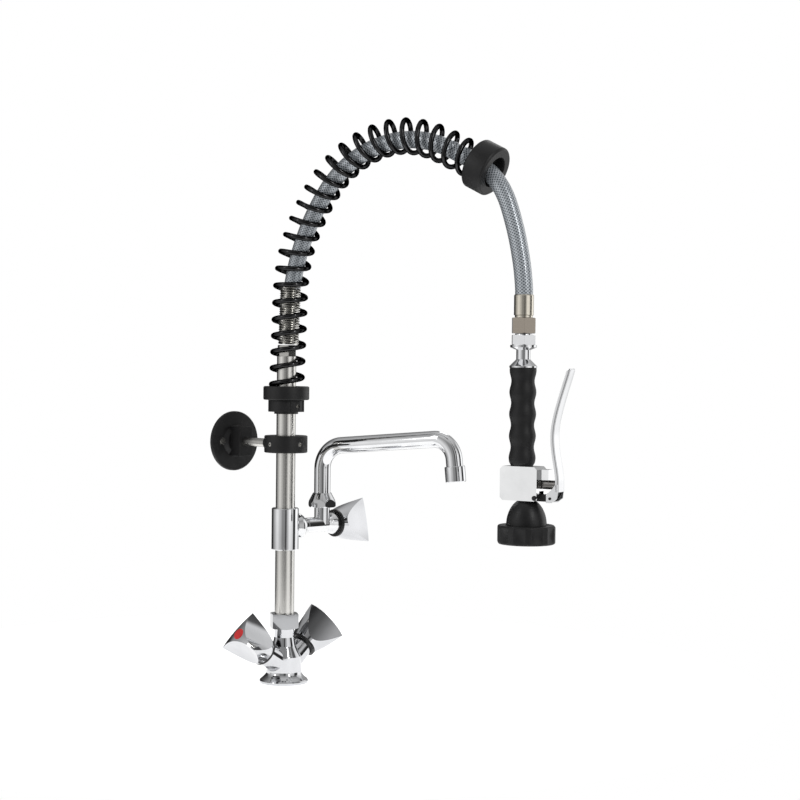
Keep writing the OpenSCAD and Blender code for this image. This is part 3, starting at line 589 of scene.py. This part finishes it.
def make_lever():
    rows = lever_rows()
    n = len(rows[0])
    verts = [v for row in rows for v in row]
    faces = [
        (i * n + k, (i + 1) * n + k, (i + 1) * n + (k + 1) % n, i * n + (k + 1) % n)
        for i in range(len(rows) - 1)
        for k in range(n)
    ]
    last = (len(rows) - 1) * n
    faces += [tuple(range(n)), tuple(last + k for k in reversed(range(n)))]
    add_ears(verts, faces)
    obj = add_mesh("lever_channel", verts, faces, CHROME)
    bm = bmesh.new()
    bm.from_mesh(obj.data)
    bmesh.ops.recalc_face_normals(bm, faces=bm.faces)
    bm.to_mesh(obj.data)
    bm.free()
    bevel = obj.modifiers.new("edges", "BEVEL")
    bevel.width = 0.35 * MM
    bevel.segments = 3
    bevel.limit_method = "ANGLE"
    bevel.angle_limit = math.radians(50)
    bevel.harden_normals = True
    return obj


lever = make_lever()
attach(lever, "squeeze_lever")
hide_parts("lever")

# ---------- softened edges on the CAD nodes that stay ----------
SOFTEN = {
    "riser_nut": 0.5, "spout_nut": 0.4, "valve_nut": 0.4, "swivel_nut": 0.4,
    "hose_coupling": 0.4, "valve_block": 0.6, "tee_sleeve": 0.4, "rear_plug": 0.4,
    "riser_clamp": 0.5, "spring_clamp": 0.5, "spring_seat": 0.5, "wall_plate": 0.5,
    "end_cap": 0.6, "aerator": 0.3, "lever_pin": 0.3,
}  # fmt: skip
for n, width in SOFTEN.items():
    o = NODES[n]
    weld = o.modifiers.new("weld", "WELD")
    weld.merge_threshold = 1e-5
    flat = o.modifiers.new("flat", "DECIMATE")
    flat.decimate_type = "DISSOLVE"
    flat.angle_limit = math.radians(0.5)
    bev = o.modifiers.new("bevel", "BEVEL")
    bev.width = width * MM
    bev.segments = 3
    bev.limit_method = "ANGLE"
    bev.angle_limit = math.radians(28)
    bev.harden_normals = False

# ---------- stage and light ----------
bpy.ops.mesh.primitive_circle_add(
    vertices=96, radius=0.55, fill_type="NGON", location=(0, 0, -0.0005)
)
floor = bpy.context.object
floor.name = "floor"
pale = Mat("floor_paper", (0.9, 0.9, 0.9), 0.75)
pale.color(
    pale.ramp(pale.noise(3, 2, 0.5, pale.coords()), (0.3, 0.885), (0.7, 0.905))
)
pale.set("Emission Color", (1, 1, 1, 1))
pale.set("Emission Strength", 0.8)
floor.data.materials.append(pale.m)

world = bpy.data.worlds.new("studio")
bpy.context.scene.world = world
world.use_nodes = True
wt = world.node_tree
wt.nodes.clear()
out = wt.nodes.new("ShaderNodeOutputWorld")
mix = wt.nodes.new("ShaderNodeMixShader")
path_node = wt.nodes.new("ShaderNodeLightPath")
seen = wt.nodes.new("ShaderNodeBackground")
seen.inputs["Color"].default_value = (1, 1, 1, 1)
seen.inputs["Strength"].default_value = 1.0
room = wt.nodes.new("ShaderNodeBackground")
tc = wt.nodes.new("ShaderNodeTexCoord")
sep = wt.nodes.new("ShaderNodeSeparateXYZ")
wt.links.new(tc.outputs["Generated"], sep.inputs[0])


def grey_ramp(fac, stops):
    ramp = wt.nodes.new("ShaderNodeValToRGB")
    ramp.color_ramp.interpolation = "EASE"
    e = ramp.color_ramp.elements
    for i, (pos, val) in enumerate(stops):
        el = e[i] if i < 2 else e.new(pos)
        el.position = pos
        el.color = (val, val, val, 1)
    wt.links.new(fac, ramp.inputs["Fac"])
    return ramp.outputs["Color"]


def wmath(op, a, b=None):
    n = wt.nodes.new("ShaderNodeMath")
    n.operation = op
    for i, v in enumerate((a, b)):
        if v is None:
            continue
        if isinstance(v, (int, float)):
            n.inputs[i].default_value = v
        else:
            wt.links.new(v, n.inputs[i])
    return n.outputs[0]


# Cards stand round the object: turn is the direction round it, 0 at the camera, rising to the right
turn = wmath("ARCTAN2", sep.outputs["Y"], sep.outputs["X"])
turn = wmath("FRACT", wmath("ADD", wmath("DIVIDE", turn, 2 * math.pi), 1.375))
cards = grey_ramp(
    turn,
    [
        (0.0, 0.3), (0.03, 0.04), (0.06, 0.7), (0.12, 1.5), (0.19, 1.2), (0.22, 0.04),
        (0.265, 0.04), (0.29, 1.7), (0.36, 1.7), (0.41, 0.6), (0.52, 0.3), (0.58, 0.04),
        (0.66, 0.05), (0.71, 0.6), (0.82, 1.3), (0.9, 0.8), (0.95, 0.4),
    ],
)
# steepness: 0 straight down, 0.5 level, 1 straight up; the sky takes over from the cards with it
steepness = wmath("ADD", wmath("MULTIPLY", sep.outputs["Z"], 0.5), 0.5)
height = grey_ramp(
    steepness,
    [(0.0, 0.5), (0.42, 0.12), (0.5, 0.0), (0.62, 0.0), (0.74, 0.35), (0.86, 0.9), (1.0, 1.0)],
)
sky = grey_ramp(
    steepness,
    [(0.0, 0.3), (0.4, 0.06), (0.5, 0.1), (0.66, 0.34), (0.82, 0.4), (0.93, 0.75), (1.0, 0.9)],
)
blend_node = wt.nodes.new("ShaderNodeMix")
blend_node.data_type = "RGBA"
wt.links.new(height, blend_node.inputs[0])
wt.links.new(cards, blend_node.inputs[6])
wt.links.new(sky, blend_node.inputs[7])
wt.links.new(blend_node.outputs[2], room.inputs["Color"])
room.inputs["Strength"].default_value = 0.85
wt.links.new(path_node.outputs["Is Camera Ray"], mix.inputs["Fac"])
wt.links.new(room.outputs[0], mix.inputs[1])
wt.links.new(seen.outputs[0], mix.inputs[2])
wt.links.new(mix.outputs[0], out.inputs["Surface"])


def softbox(name, az, el, dist, width, height, power, target=(0.05, -0.1, 0.33)):
    """Area light seen from the target at azimuth az round the camera's view, elevation el."""
    a, e = math.radians(az) + VIEW_AZ, math.radians(el)
    away = Vector((math.sin(a) * math.cos(e), -math.cos(a) * math.cos(e), math.sin(e)))
    light = bpy.data.lights.new(name, "AREA")
    light.shape = "RECTANGLE"
    light.size = width
    light.size_y = height
    light.energy = power
    obj = bpy.data.objects.new(name, light)
    bpy.context.scene.collection.objects.link(obj)
    obj.location = Vector(target) + away * dist
    obj.rotation_euler = away.to_track_quat("Z", "Y").to_euler()


softbox("key", 38, 28, 1.9, 0.14, 0.9, 6)
softbox("fill", -58, 30, 2.0, 0.35, 1.2, 3.5)
softbox("rim", 165, 35, 2.2, 0.6, 1.2, 4)

bpy.context.scene.view_settings.view_transform = "Standard"
